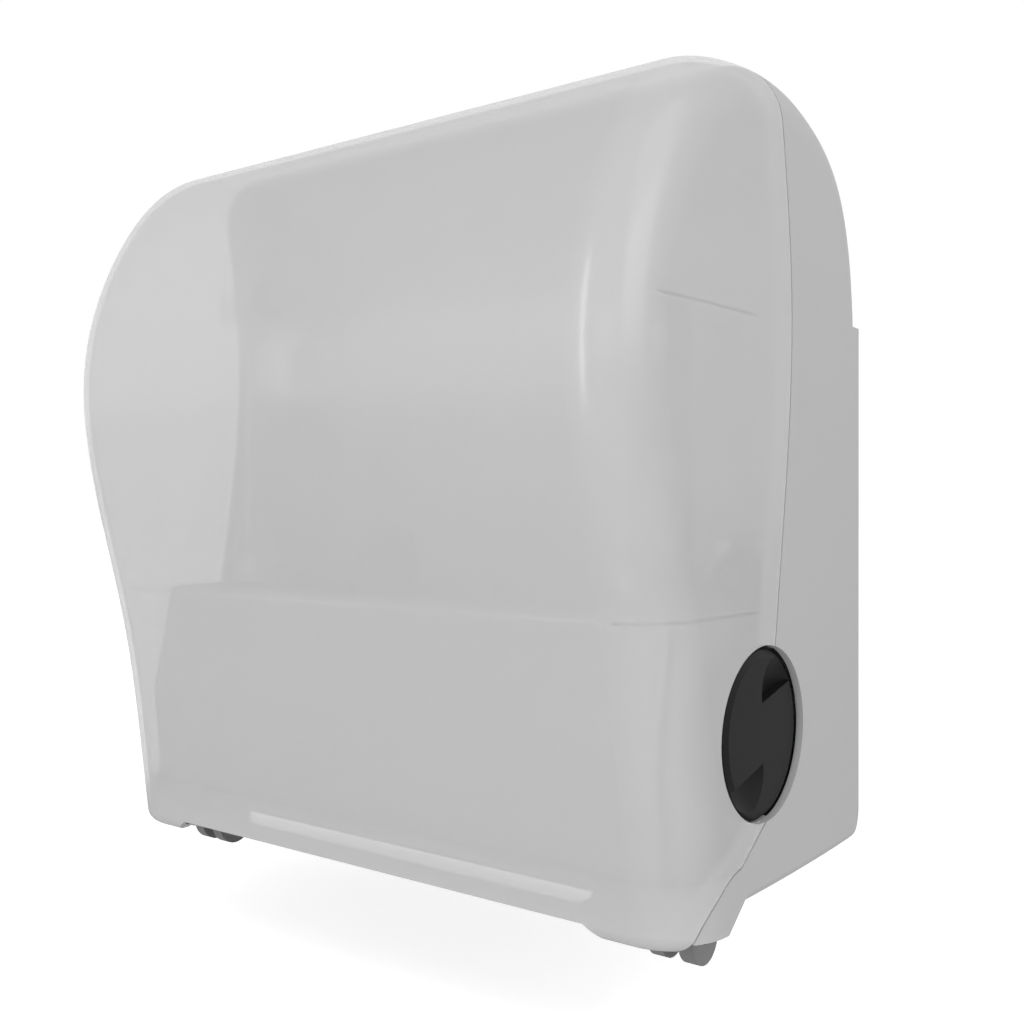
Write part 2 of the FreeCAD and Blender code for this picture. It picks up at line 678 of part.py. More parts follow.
# Mechanism frame: two side plates with tabs screwed to posts on the back wall, and tie bars

bearing_half = size("bearing_size") / 2
slot_back = roller_y + bearing_half + size("roller_travel") + 12


def mechanism_plate(side, name):
    left = plate_inner if side > 0 else -plate_outer
    outline = [(plate_back - size("heel_round"), plate_bottom),
               (plate_back, plate_bottom + size("heel_round")), (plate_back, size("plate_top")),
               (-size("plate_front_top"), size("plate_top")),
               (-size("plate_front_middle"), size("plate_middle")),
               (-size("plate_front_bottom"), plate_bottom)]
    bores = [(drum_y, drum_z, size("shaft_radius") + clearance),
             (-size("tie_depth"), size("tie_high"), size("tie_radius") + clearance),
             (-size("tie_depth"), size("tie_low"), size("tie_radius") + clearance)]
    plate = slab(name + "_sheet", left, size("plate_thickness"), outline, bores, kept=False)
    window = block(name + "_window", left - 1, left + size("plate_thickness") + 1,
                   roller_y - bearing_half - size("seat_gap"), slot_back,
                   drum_z - bearing_half - size("seat_gap"),
                   drum_z + bearing_half + size("seat_gap"))
    tab_left = plate_inner - 14 if side > 0 else -plate_inner - 0.5
    tabs = [block(name + "_tab", tab_left, tab_left + 14.5, plate_back - 14, plate_back - 11,
                  z - 7, z + 7) for z in tab_places]
    tab_bores = [post(name + "_tab_bore", side * (plate_inner - 7), plate_back - 8, 10, z,
                      size("screw_hole_radius")) for z in tab_places]
    return cut(name, joined(name + "_solid", [plate] + tabs), [window] + tab_bores)


def screw(name, x, back, length, z, radius):
    # shank going back into its post, and a round head in front
    shank = post(name + "_shank", x, back, length, z, radius)
    head = post(name + "_head", x, back - length, 2, z, radius * 2)
    return joined(name, [shank, head])


keep(mechanism_plate(-1, "mechanism_plate_left"), "mechanism_plate_left")
keep(mechanism_plate(1, "mechanism_plate_right"), "mechanism_plate_right")
tie_left = -plate_outer - 2
tie_length = 2 * (plate_outer + 2)
for word in ("high", "low"):
    keep(rod("tie_bar_" + word, tie_left, tie_length, -size("tie_depth"), size("tie_" + word),
             size("tie_radius")), "tie_bar_" + word)
keep(group("mechanism_screws", [
    screw("mechanism_screw", side * (plate_inner - 7), plate_back - 4, 10 + size("seat_gap"), z,
          shank_radius)
    for side in (-1, 1) for z in tab_places]), "mechanism_screws")

# Towel guides: a front panel with a lift-out guard in its lower middle, and a rear chute

guide_length = 2 * (plate_inner - size("seat_gap"))
wall = size("guide_wall")
guide_top_y = -size("guide_top_depth")
guide_middle_y = -size("guide_middle_depth")
guide_bottom_y = -size("guide_bottom_depth")
guide_low = plate_bottom
front_panel = rail("front_panel", guide_length, [
    (guide_top_y + 20, size("plate_top")), (guide_top_y + 20, size("plate_top") - wall),
    (guide_top_y + wall + 1, size("plate_top") - wall), (guide_middle_y + wall, size("guide_split")),
    (guide_bottom_y + wall, guide_low), (guide_bottom_y, guide_low),
    (guide_middle_y, size("guide_split")), (guide_top_y - 4, size("plate_top") - 22),
    (guide_top_y, size("plate_top"))], kept=False)
guard_room = block("guard_room", -size("exit_half_width") - play, size("exit_half_width") + play,
                   guide_middle_y - 5, guide_bottom_y + 10, guide_low - 5, size("guide_split"))
keep(cut("front_guide", front_panel, [guard_room]), "front_guide")
rail("lower_guard", 2 * size("exit_half_width"), [
    (guide_middle_y + wall, size("guide_split") - play), (guide_bottom_y + wall, guide_low),
    (guide_bottom_y, guide_low), (guide_middle_y, size("guide_split") - play)])


def rear_chute():
    # a sheet bent about the drum, running straight down to the exit
    inner = mm("guide_radius")
    outer = inner + mm("guide_wall")
    last = math.radians(-95)
    foot_y = drum_y.value + inner * math.cos(last)
    outer_last = -math.acos((foot_y + mm("guide_wall") - drum_y.value) / outer)

    def around(radius, angle):
        return Vector(0, drum_y.value + radius * math.cos(angle),
                      drum_z.value + radius * math.sin(angle))

    first = math.radians(-25)
    near = [around(inner, a) for a in (first, (first + last) / 2, last)]
    far = [around(outer, a) for a in (outer_last, (first + outer_last) / 2, first)]
    near_foot = Vector(0, foot_y, plate_bottom.value)
    far_foot = near_foot + Vector(0, mm("guide_wall"), 0)
    edges = [Part.Arc(*near).toShape(), Part.makeLine(near[2], near_foot),
             Part.makeLine(near_foot, far_foot), Part.makeLine(far_foot, far[0]),
             Part.Arc(*far).toShape(), Part.makeLine(far[2], near[0])]
    solid = Part.Face(Part.Wire(edges)).extrude(Vector(guide_length.value, 0, 0))
    solid.translate(Vector(-guide_length.value / 2, 0, 0))
    return solid


keep(form("rear_guide", rear_chute()), "rear_guide")


# Feed drum: a grooved shell with rubber bands, two ends on a steel shaft, and a slot for the knife

drum_half = size("drum_length") / 2
drum_inner = size("drum_radius") - size("drum_wall")
slot_half = drum_half - 10
band_centres = [step * size("band_pitch") for step in (-1.5, -0.5, 0.5, 1.5)]


def drum_outline():
    # grooved outside and plain inside of the shell, as x and distance from the axis
    radius = size("drum_radius")
    groove = radius - size("band_depth")
    corners = [(-drum_half, drum_inner), (-drum_half, radius)]
    for centre in band_centres:
        left = centre - size("band_width") / 2 - size("seat_gap")
        right = centre + size("band_width") / 2 + size("seat_gap")
        corners += [(left, radius), (left, groove), (right, groove), (right, radius)]
    return corners + [(drum_half, radius), (drum_half, drum_inner)]


shell_turn = turned("drum_shell_turn", drum_outline(), drum_y, drum_z, kept=False)
knife_slot = block("knife_slot", -slot_half, slot_half, drum_y - size("knife_slot_ahead"),
                   drum_y + size("knife_slot_behind"), drum_z + 20,
                   drum_z + size("drum_radius") + 2)
keep(cut("drum_shell", shell_turn, [knife_slot]), "drum_shell")


def band(centre):
    left = centre - size("band_width") / 2
    outside = rod("band_outside", left, size("band_width"), drum_y, drum_z, size("drum_radius"))
    inside = rod("band_inside", left - 1, size("band_width") + 2, drum_y, drum_z,
                 size("drum_radius") - size("band_depth") + clearance)
    return cut("band", outside, [inside, knife_slot])


keep(group("grip_bands", [band(centre) for centre in band_centres]), "grip_bands")

pivot_y = drum_y + size("knife_pivot_back")
pivot_z = drum_z + size("knife_pivot_up")
for side, word in ((-1, "left"), (1, "right")):
    disc_left = side * drum_half - (0 if side < 0 else size("drum_end_thickness"))
    disc = rod("end_disc", disc_left, size("drum_end_thickness"), drum_y, drum_z,
               drum_inner - clearance)
    end_cuts = [rod("end_bore", disc_left - 1, size("drum_end_thickness") + 2, drum_y, drum_z,
                    size("shaft_radius") + clearance),
                rod("end_pivot_bore", disc_left - 1, size("drum_end_thickness") + 2, pivot_y,
                    pivot_z, size("knife_rod_radius") + clearance)]
    for angle in (150, 210, 270, 330):
        end_cuts.append(rod(
            "end_window", disc_left - 1, size("drum_end_thickness") + 2,
            drum_y + drum_inner * 0.58 * math.cos(math.radians(angle)),
            drum_z + drum_inner * 0.58 * math.sin(math.radians(angle)), drum_inner / 5))
    keep(cut("drum_end_" + word, disc, end_cuts), "drum_end_" + word)

crank_left = -plate_outer - 4.5
crank_width = 3
knob_inner = size("knob_face") - size("knob_depth")
keep(rod("drum_shaft", crank_left, knob_inner + 4 - crank_left, drum_y, drum_z,
         size("shaft_radius")), "drum_shaft")


# Feed knob with two finger hollows, a hub on the shaft and a skirt behind its rim

def feed_knob():
    radius = size("knob_radius")
    face = size("knob_face")
    knob = turned("knob_turn", [
        (knob_inner, size("shaft_radius") + clearance), (knob_inner, radius - 3),
        (knob_inner - 1, radius - 3), (knob_inner - 1, radius), (face - 3, radius),
        (face - 1, radius - 1.2), (face, radius - 4), (face, 0), (knob_inner + 4.3, 0),
        (knob_inner + 4.3, size("shaft_radius") + clearance)], drum_y, drum_z, kept=False)
    # each hollow is a shallow ball pocket that ends in a steep wall for the finger to push on
    hollows = []
    for turn in (0, 180):
        slant = math.radians(13 + turn)
        middle = math.radians(48 + turn)
        ball = doc.addObject("Part::Sphere", "hollow_ball")
        bind(ball, "Radius", radius * 0.71)
        ball_y = drum_y + radius * 0.6 * math.cos(middle)
        ball_z = drum_z + radius * 0.6 * math.sin(middle)
        place(ball, face + radius * 0.57, ball_y, ball_z)
        side = doc.addObject("Part::Box", "hollow_side")
        for path, length in (("Length", radius), ("Width", radius * 2), ("Height", radius)):
            bind(side, path, length)
        side.Placement.Rotation = FreeCAD.Rotation(Vector(1, 0, 0), 13 + turn)
        place(side, face - radius / 2, ball_y - radius * math.cos(slant),
              ball_z - radius * math.sin(slant))
        hollow = doc.addObject("Part::MultiCommon", "finger_hollow")
        hollow.Shapes = [ball, side]
        hollows.append(hollow)
    return cut("feed_knob", knob, hollows)


keep(feed_knob(), "feed_knob")

# Crank wheel on the left end, its pin and the return spring that brings the drum round

crank_disc = rod("crank_disc", crank_left, crank_width, drum_y, drum_z, size("crank_radius"))
crank_bore = rod("crank_bore", crank_left - 1, crank_width + 2, drum_y, drum_z,
                 size("shaft_radius") + clearance)
crank_pin_left = crank_left - 6
crank_pin_z = drum_z - size("crank_throw")
crank_pin = rod("crank_pin", crank_pin_left, 6.5, drum_y, crank_pin_z,
                size("crank_pin_radius"))
keep(joined("crank_wheel", [cut("crank_plain", crank_disc, [crank_bore]), crank_pin]),
     "crank_wheel")
anchor_y = -size("spring_anchor_depth")
keep(rod("spring_post", crank_pin_left, -plate_outer - crank_pin_left, anchor_y, crank_pin_z,
         size("crank_pin_radius")), "spring_post")


def coil(length, radius, wire):
    # closely wound coil along X, drawn as one pointed ring for every four turns
    turns = max(2, round(length / wire / 4))
    step = length / turns
    corners = [Vector(0, radius - wire, 0)]
    for turn in range(turns):
        corners.append(Vector(turn * step, radius - 0.4 * wire, 0))
        corners.append(Vector((turn + 0.5) * step, radius, 0))
    corners += [Vector(length, radius - 0.4 * wire, 0), Vector(length, radius - wire, 0)]
    face = Part.Face(Part.makePolygon(corners + corners[:1]))
    return face.revolve(Vector(0, 0, 0), Vector(1, 0, 0), 360)


def spring_eye(radius, wire, y):
    ring = Part.makeCylinder(radius + wire / 2, wire, Vector(-wire / 2, y, 0), Vector(1, 0, 0))
    return ring.cut(Part.makeCylinder(radius - wire / 2, 2 * wire, Vector(-wire, y, 0),
                                      Vector(1, 0, 0)))


def extension_spring():
    # coil along Y with a straight end and an eye on each side; the first eye is at the origin
    span = anchor_y.value - drum_y.value
    wire = mm("spring_wire")
    middle = mm("spring_radius") - wire / 2
    eye = mm("crank_pin_radius") + mm("seat_gap") + wire / 2
    start = 0.2 * span
    body = coil(0.65 * span, mm("spring_radius"), wire)
    body.rotate(Vector(0, 0, 0), Vector(0, 0, 1), 90)
    body.translate(Vector(0, start, 0))
    wires = [Part.makeCylinder(wire / 2, start + 1, Vector(0, 1, middle), Vector(0, 1, 0)),
             Part.makeCylinder(wire / 2, 0.15 * span, Vector(0, 0.85 * span - 1, middle),
                               Vector(0, 1, 0)),
             spring_eye(eye, wire, 0), spring_eye(eye, wire, span)]
    return body.fuse(wires)


keep(place(form("return_spring", extension_spring()), crank_left - size("spring_radius") - 0.3,
           drum_y, crank_pin_z), "return_spring")


def ratchet_shape():
    # saw teeth round a disc, each with a steep face and a long back
    teeth = int(mm("ratchet_teeth"))
    outer = mm("ratchet_radius")
    inner = outer - mm("ratchet_tooth_depth")
    corners = []
    for tooth in range(teeth):
        start = 2 * math.pi * tooth / teeth
        for radius, angle in ((outer, start), (inner, start + 0.02)):
            corners.append(Vector(0, radius * math.cos(angle), radius * math.sin(angle)))
    disc = Part.Face(Part.makePolygon(corners + corners[:1])).extrude(Vector(5, 0, 0))
    bore = Part.makeCylinder(mm("shaft_radius") + mm("running_clearance"), 10,
                             Vector(-2, 0, 0), Vector(1, 0, 0))
    return disc.cut(bore)


ratchet_left = drum_half + 10
keep(place(form("ratchet_wheel", ratchet_shape()), ratchet_left, drum_y, drum_z),
     "ratchet_wheel")

# Pawl on a pin of the right plate, resting just above the teeth

pawl_y = drum_y + 14
pawl_z = drum_z + size("ratchet_radius") + 8
pawl_tip = drum_z + size("ratchet_radius") + size("seat_gap") + 0.2
slab("pawl", ratchet_left + 0.5, 4, [
    (pawl_y + 5, pawl_z + 3), (pawl_y - 4, pawl_z + 4), (drum_y - 1, pawl_tip + 3.2),
    (drum_y - 2, pawl_tip), (drum_y + 2, pawl_tip), (pawl_y - 3, pawl_z - 3.5),
    (pawl_y + 5, pawl_z - 3)], [(pawl_y, pawl_z, 2 + clearance)])
keep(rod("pawl_pin", ratchet_left - 1, plate_inner - ratchet_left + 1, pawl_y, pawl_z, 2),
     "pawl_pin")


# Knife: a rod through the drum, a carrier beam, a toothed blade, and a lever with its follower

keep(rod("knife_rod", -drum_half - 8, 2 * drum_half + 10, pivot_y, pivot_z,
         size("knife_rod_radius")), "knife_rod")
blade_front = drum_y - size("knife_slot_ahead") + 1.5
beam_front = blade_front + size("blade_thickness")
tip_z = drum_z + size("blade_reach")
rail("knife_carrier", 2 * (slot_half - play), [
    (pivot_y - 4, pivot_z - 4), (pivot_y + 3.5, pivot_z - 4), (pivot_y + 4, pivot_z + 3),
    (pivot_y - 2, pivot_z + 5), (drum_y, tip_z - 13.5), (beam_front + 2.3, tip_z - 5.5),
    (beam_front, tip_z - 5.5), (beam_front, tip_z - 19.5), (drum_y, tip_z - 22)],
    [(pivot_y, pivot_z, size("knife_rod_radius") + clearance)])


def blade_shape():
    # a strip with a row of pointed teeth along its upper edge
    half = slot_half.value - 2
    pitch = mm("tooth_pitch")
    count = int(2 * half / pitch)
    start = -count * pitch / 2
    root = tip_z.value - mm("tooth_height")
    low = tip_z.value - 18
    corners = [Vector(start, 0, low), Vector(start, 0, root)]
    for tooth in range(count):
        corners.append(Vector(start + (tooth + 0.5) * pitch, 0, tip_z.value))
        corners.append(Vector(start + (tooth + 1) * pitch, 0, root))
    corners.append(Vector(start + count * pitch, 0, low))
    face = Part.Face(Part.makePolygon(corners + corners[:1]))
    return face.extrude(Vector(0, mm("blade_thickness"), 0))


keep(place(form("knife_blade", blade_shape()), 0, blade_front, 0), "knife_blade")

follower_y = drum_y + 2
follower_z = drum_z + size("cam_base_radius") + size("follower_radius") + size("seat_gap")
lever_left = -drum_half - 8
slab("cam_lever", lever_left, 4, [
    (pivot_y + 3.5, pivot_z - 3.5), (pivot_y + 4.5, pivot_z + 3), (follower_y + 2, follower_z + 4),
    (follower_y - 3, follower_z + 3), (follower_y - 3, follower_z - 3),
    (pivot_y - 4, pivot_z - 3.5)],
    [(pivot_y, pivot_z, size("knife_rod_radius") + clearance)])
cam_left = lever_left - 12
keep(rod("cam_follower", cam_left + 0.5, lever_left - cam_left - 0.5, follower_y, follower_z,
         size("follower_radius")), "cam_follower")

# Knife cam: a round disc with one lobe. It slides on a square sleeve of the left plate, from the
# loading place shown, beside the follower, to its place under the follower

cam_rest = cam_left - size("cam_shift")
lobe_angle = math.radians(mm("cam_lobe_angle"))
lobe_offset = size("cam_base_radius") + size("cam_lift") - size("cam_lobe_radius")
cam_disc = rod("cam_disc", cam_rest, size("cam_width"), drum_y, drum_z, size("cam_base_radius"))
cam_lobe = rod("cam_lobe", cam_rest, size("cam_width"), drum_y + lobe_offset * math.cos(lobe_angle),
               drum_z + lobe_offset * math.sin(lobe_angle), size("cam_lobe_radius"))


def square_bar(name, left, right, half):
    return block(name, left, right, drum_y - half, drum_y + half, drum_z - half, drum_z + half)


cam_hole = square_bar("cam_hole", cam_rest - 1, cam_rest + size("cam_width") + 1,
                      size("cam_sleeve_half") + clearance)
keep(cut("knife_cam", joined("cam_solid", [cam_disc, cam_lobe]), [cam_hole]), "knife_cam")
sleeve_bar = square_bar("cam_sleeve_bar", -plate_inner, cam_left + size("cam_width"),
                        size("cam_sleeve_half"))
sleeve_bore = rod("cam_sleeve_bore", -plate_inner - 1, plate_inner, drum_y, drum_z,
                  size("shaft_radius") + 1)
keep(cut("cam_sleeve", sleeve_bar, [sleeve_bore]), "cam_sleeve")

# Pressure roller: rubber sleeves on a steel shaft, in two sprung bearing blocks

roller_half = plate_outer + 3
keep(rod("roller_shaft", -roller_half, 2 * roller_half, roller_y, drum_z,
         size("roller_shaft_radius")), "roller_shaft")
sleeves = []
for centre in band_centres:
    sleeve_left = centre - size("sleeve_length") / 2
    sleeve = rod("sleeve_outside", sleeve_left, size("sleeve_length"), roller_y, drum_z,
                 size("roller_radius"))
    sleeve_bore = rod("sleeve_bore", sleeve_left - 1, size("sleeve_length") + 2, roller_y, drum_z,
                      size("roller_shaft_radius") + clearance)
    sleeves.append(cut("sleeve", sleeve, [sleeve_bore]))
keep(group("roller_sleeves", sleeves), "roller_sleeves")
for side, word in ((-1, "left"), (1, "right")):
    name = "bearing_block_" + word
    body_left = plate_inner - 0.5 if side > 0 else -plate_outer - 2
    flange_left = plate_inner - 3 if side > 0 else -plate_inner + play
    core = block(name + "_core", body_left, body_left + size("plate_thickness") + 2.5,
                 roller_y - bearing_half, roller_y + bearing_half, drum_z - bearing_half,
                 drum_z + bearing_half)
    flange = block(name + "_flange", flange_left, flange_left + 3 - play,
                   roller_y - bearing_half - 2, roller_y + bearing_half,
                   drum_z - bearing_half - 2.5, drum_z + bearing_half + 2.5)
    bore = rod(name + "_bore", side * plate_inner - 15, 30, roller_y, drum_z,
               size("roller_shaft_radius") + clearance)
    keep(cut(name, joined(name + "_solid", [core, flange]), [bore]), name)


def knife_spring():
    # coil on the knife rod with one leg along the lever, beside the drum's left end
    wire = mm("spring_wire")
    radius = mm("knife_rod_radius") + mm("seat_gap") + wire
    leg = Part.makeCylinder(wire / 2, 11, Vector(wire / 2 + 0.1, 0, radius - wire / 2),
                            Vector(0, -1, 0))
    return coil(3.4, radius, wire).fuse(leg)


keep(place(form("knife_spring", knife_spring()), lever_left + 4 + size("seat_gap"), pivot_y,
           pivot_z), "knife_spring")

# Springs that press the roller blocks forward, between each block and the end of its window

for side, word in ((-1, "left"), (1, "right")):
    spring_start = roller_y + bearing_half + clearance
    spring_shape = coil((slot_back - spring_start - clearance).value, mm("spring_radius"),
                        mm("spring_wire"))
    spring_shape.rotate(Vector(0, 0, 0), Vector(0, 0, 1), 90)
    keep(place(form("roller_spring", spring_shape),
               side * (plate_inner + size("plate_thickness") / 2), spring_start, drum_z),
         "roller_spring_" + word)


# Roll holder: a base, a pivoting arm with a turning hub, a pin and a torsion spring on each side

arm_middle = size("arm_inner") + size("arm_thickness") / 2
arm_outer = size("arm_inner") + size("arm_thickness")
pivot_height = size("arm_pivot_height")
leg_front = -size("arm_front_depth")
leg_back = -size("arm_back_depth")
knuckle_front = leg_front + 4.3
knuckle_back = leg_back - 4.3
knuckle_radius = size("arm_pin_radius") + 2.5
notch_front = roll_y - 10.5
notch_back = roll_y + 10.5


def between(side, near, far):
    # left and right ends of a piece that runs from near to far off the middle
    near, far = as_size(near), as_size(far)
    return (near, far) if side > 0 else (-far, -near)


def roll_arm(side, name):
    left = between(side, size("arm_inner"), arm_outer)[0]
    leg = slab(name + "_leg", left, size("arm_thickness"), [
        (leg_front + 6, pivot_height + 1), (leg_back - 6, pivot_height + 1),
        (leg_back - 6, pivot_height + 9), (leg_back, pivot_height + 12),
        (roll_y + size("arm_head_radius") - 1.5, roll_z - 9),
        (roll_y - size("arm_head_radius") + 1.5, roll_z - 9),
        (leg_front, pivot_height + 12), (leg_front + 6, pivot_height + 9)], kept=False)
    head = rod(name + "_head", left, size("arm_thickness"), roll_y, roll_z,
               size("arm_head_radius"))
    knuckle = post(name + "_knuckle", side * arm_middle, knuckle_back,
                   knuckle_back - knuckle_front, pivot_height, knuckle_radius)
    window = block(name + "_window", left - 1, left + size("arm_thickness") + 1,
                   leg_front + 12, leg_back - 8, pivot_height + 12, pivot_height + 55)
    stem_hole = rod(name + "_stem_hole", left - 1, size("arm_thickness") + 2, roll_y, roll_z,
                    size("arm_stem_radius"))
    notch = block(name + "_notch", left - 4, left + size("arm_thickness") + 4, notch_front,
                  notch_back, pivot_height - 8, pivot_height + 6)
    bore = post(name + "_bore", side * arm_middle, leg_back + 2, leg_back - leg_front + 4,
                pivot_height, size("arm_pin_radius") + clearance)
    return cut(name, joined(name + "_solid", [leg, head, knuckle]),
               [window, stem_hole, notch, bore])


def arm_base(side, name):
    near, far = between(side, arm_middle - 14, arm_middle + 14)
    shelf = block(name + "_shelf", near, far, leg_front, plate_back, base_top - 3, base_top)
    flange = block(name + "_flange", near, far, plate_back - 3, plate_back, base_top - 3,
                   base_top + 24)
    near, far = between(side, arm_middle - 6, arm_middle + 6)
    front_ear = block(name + "_front_ear", near, far, leg_front, leg_front + 4, base_top - 1,
                      base_top + 13)
    back_ear = block(name + "_back_ear", near, far, leg_back - 4, leg_back, base_top - 1,
                     base_top + 13)
    gusset = slab(name + "_gusset", between(side, arm_middle - 1.5, arm_middle + 1.5)[0], 3, [
        (plate_back - 1, base_top - 1), (plate_back - 1, base_top + 24),
        (plate_back - 3, base_top + 24), (leg_back + 6, base_top - 1)], kept=False)
    cuts = [post(name + "_bore", side * arm_middle, leg_back + 2, leg_back - leg_front + 4,
                 pivot_height, size("arm_pin_radius") + clearance)]
    cuts += [post(name + "_screw_hole", x, plate_back + 2, 8, z, size("screw_hole_radius"))
             for x, z in base_screw_places if x.value * side > 0]
    return cut(name, joined(name + "_solid", [shelf, flange, front_ear, back_ear, gusset]), cuts)


def torsion_spring(side):
    # coil on the arm's pin; one leg lies against the arm, the other on the base
    wire = mm("spring_wire")
    radius = mm("arm_pin_radius") + mm("seat_gap") + wire
    length = (notch_back - notch_front).value - 1
    body = coil(length, radius, wire)
    body.rotate(Vector(0, 0, 0), Vector(0, 0, 1), 90)
    body.translate(Vector(0, -length / 2, 0))
    outside = side * (mm("arm_thickness") / 2 + wire / 2 + 0.1)
    upper = Part.makeCylinder(wire / 2, 14, Vector(outside, length / 2 - wire / 2, 2),
                              Vector(0, 0, 1))
    lower = Part.makeCylinder(wire / 2, 11, Vector(0, wire / 2 - length / 2, wire / 2 - radius),
                              Vector(-side, 0, -0.12))
    return body.fuse([upper, lower])


def roll_hub(side, name):
    face = arm_middle - size("arm_thickness") / 2 - size("seat_gap")
    inner = face - 2 - size("hub_length")
    radius = size("hub_radius")
    stem = size("arm_stem_radius") - clearance
    outer = arm_outer + size("seat_gap")
    return turned(name, [(side * x, r) for x, r in (
        (inner, radius - 1.5), (inner + 1.5, radius), (face - 2, radius), (face - 2, radius + 5),
        (face, radius + 5), (face, stem), (outer, stem), (outer, stem + 2), (outer + 1.5, stem),
        (outer + 1.5, 0), (face - 4, 0), (face - 4, radius - 4), (inner, radius - 4))],
        roll_y, roll_z)


for side, word in ((-1, "left"), (1, "right")):
    keep(arm_base(side, "arm_base_" + word), "arm_base_" + word)
    keep(roll_arm(side, "roll_arm_" + word), "roll_arm_" + word)
    keep(post("arm_pin_" + word, side * arm_middle, leg_back, leg_back - leg_front,
              pivot_height, size("arm_pin_radius")), "arm_pin_" + word)
    keep(place(form("arm_spring", torsion_spring(side)), side * arm_middle, roll_y,
               pivot_height), "arm_spring_" + word)
    roll_hub(side, "roll_hub_" + word)
base_screw_front = plate_back - 3
keep(group("arm_base_screws", [
    screw("arm_base_screw", x, -1.2, -1.2 - base_screw_front, z, shank_radius)
    for x, z in base_screw_places]), "arm_base_screws")


# Cover lock on the left side: a housing in the case wall, a plug with a key slot, and a cam

plug_radius = size("lock_radius") - 2.5
plug_right = -half_width + 18
housing_left = -half_width + 0.6
housing_tube = rod("housing_tube", housing_left, 11.5, lock_y, lock_z, size("lock_radius"))
housing_ring = rod("housing_ring", -half_width + size("case_wall") + size("seat_gap") + 0.3, 2,
                   lock_y, lock_z, size("lock_radius") + 2)
housing_bore = rod("housing_bore", housing_left - 1, 14, lock_y, lock_z, plug_radius + clearance)
keep(cut("lock_housing", joined("housing_solid", [housing_tube, housing_ring]), [housing_bore]),
     "lock_housing")
plug = rod("plug", housing_left + 0.3, plug_right - housing_left - 0.3, lock_y, lock_z,
           plug_radius)
key_slot = block("key_slot", housing_left - 1, housing_left + 5, lock_y - 0.6, lock_y + 0.6,
                 lock_z - 3.5, lock_z + 3.5)
keep(cut("lock_plug", plug, [key_slot]), "lock_plug")

cam_half = size("lock_arm_width") / 2
hook_low = lock_z + size("lock_arm") - 4.5
lock_top = lock_z + size("lock_arm")
cam_arm = slab("lock_cam_arm", plug_right - 4, 4, [
    (lock_y + cam_half, lock_z), (lock_y + cam_half, lock_top - 3),
    (lock_y + cam_half - 3, lock_top), (lock_y - cam_half - 7, lock_top),
    (lock_y - cam_half - 7, hook_low), (lock_y - cam_half, hook_low),
    (lock_y - cam_half, lock_z)], kept=False)
cam_eye = rod("lock_cam_eye", plug_right - 4, 4, lock_y, lock_z, size("lock_radius"))
plug_hole = rod("plug_hole", plug_right - 6, 8, lock_y, lock_z, plug_radius + clearance)
keep(cut("lock_cam", joined("lock_cam_solid", [cam_arm, cam_eye]), [plug_hole]), "lock_cam")


def check_and_write():
    doc.recompute()
    for obj in doc.Objects:
        if "Invalid" in obj.State or "Error" in obj.State:
            raise RuntimeError("%s did not build: %s" % (obj.Label, obj.State))
    os.makedirs("parts", exist_ok=True)
    for node in nodes:
        shape = node.Shape
        if shape.isNull() or not shape.isValid():
            raise RuntimeError("%s has no valid shape" % node.Label)
        shape.exportStep("parts/%s.step" % node.Label)
        print("%-24s solids %d  volume %.0f" % (node.Label, len(shape.Solids), shape.Volume))


check_and_write()
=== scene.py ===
import json
import math
import bpy
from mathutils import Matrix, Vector


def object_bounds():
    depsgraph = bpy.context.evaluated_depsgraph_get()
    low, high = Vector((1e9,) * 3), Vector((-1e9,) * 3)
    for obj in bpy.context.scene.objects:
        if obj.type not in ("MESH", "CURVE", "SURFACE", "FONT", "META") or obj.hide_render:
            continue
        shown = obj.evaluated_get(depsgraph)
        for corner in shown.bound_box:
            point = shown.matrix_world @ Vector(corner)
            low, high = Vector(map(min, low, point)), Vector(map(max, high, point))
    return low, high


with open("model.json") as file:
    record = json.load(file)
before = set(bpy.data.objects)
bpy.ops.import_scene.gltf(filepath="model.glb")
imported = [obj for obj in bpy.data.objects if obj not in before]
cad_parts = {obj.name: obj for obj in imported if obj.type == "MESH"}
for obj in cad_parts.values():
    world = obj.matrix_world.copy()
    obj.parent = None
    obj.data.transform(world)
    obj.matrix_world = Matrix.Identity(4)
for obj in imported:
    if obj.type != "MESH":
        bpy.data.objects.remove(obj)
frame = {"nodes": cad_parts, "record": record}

nodes = frame["nodes"]
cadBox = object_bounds()
scene = bpy.context.scene


# shader maths: a socket that can be written as an expression

class Field:
    def __init__(self, tree, socket):
        self.tree = tree
        self.socket = socket

    def combine(self, operation, first, second):
        node = self.tree.nodes.new("ShaderNodeMath")
        node.operation = operation
        for index, value in enumerate((first, second)):
            if isinstance(value, Field):
                self.tree.links.new(value.socket, node.inputs[index])
            else:
                node.inputs[index].default_value = value
        return Field(self.tree, node.outputs[0])

    def __add__(self, other): return self.combine("ADD", self, other)
    def __radd__(self, other): return self.combine("ADD", other, self)
    def __sub__(self, other): return self.combine("SUBTRACT", self, other)
    def __rsub__(self, other): return self.combine("SUBTRACT", other, self)
    def __mul__(self, other): return self.combine("MULTIPLY", self, other)
    def __rmul__(self, other): return self.combine("MULTIPLY", other, self)
    def __truediv__(self, other): return self.combine("DIVIDE", self, other)
    def atMost(self, other): return self.combine("MINIMUM", self, other)
    def atLeast(self, other): return self.combine("MAXIMUM", self, other)

    def output(self, name):
        # another output of the node that this socket belongs to
        return Field(self.tree, self.socket.node.outputs[name])


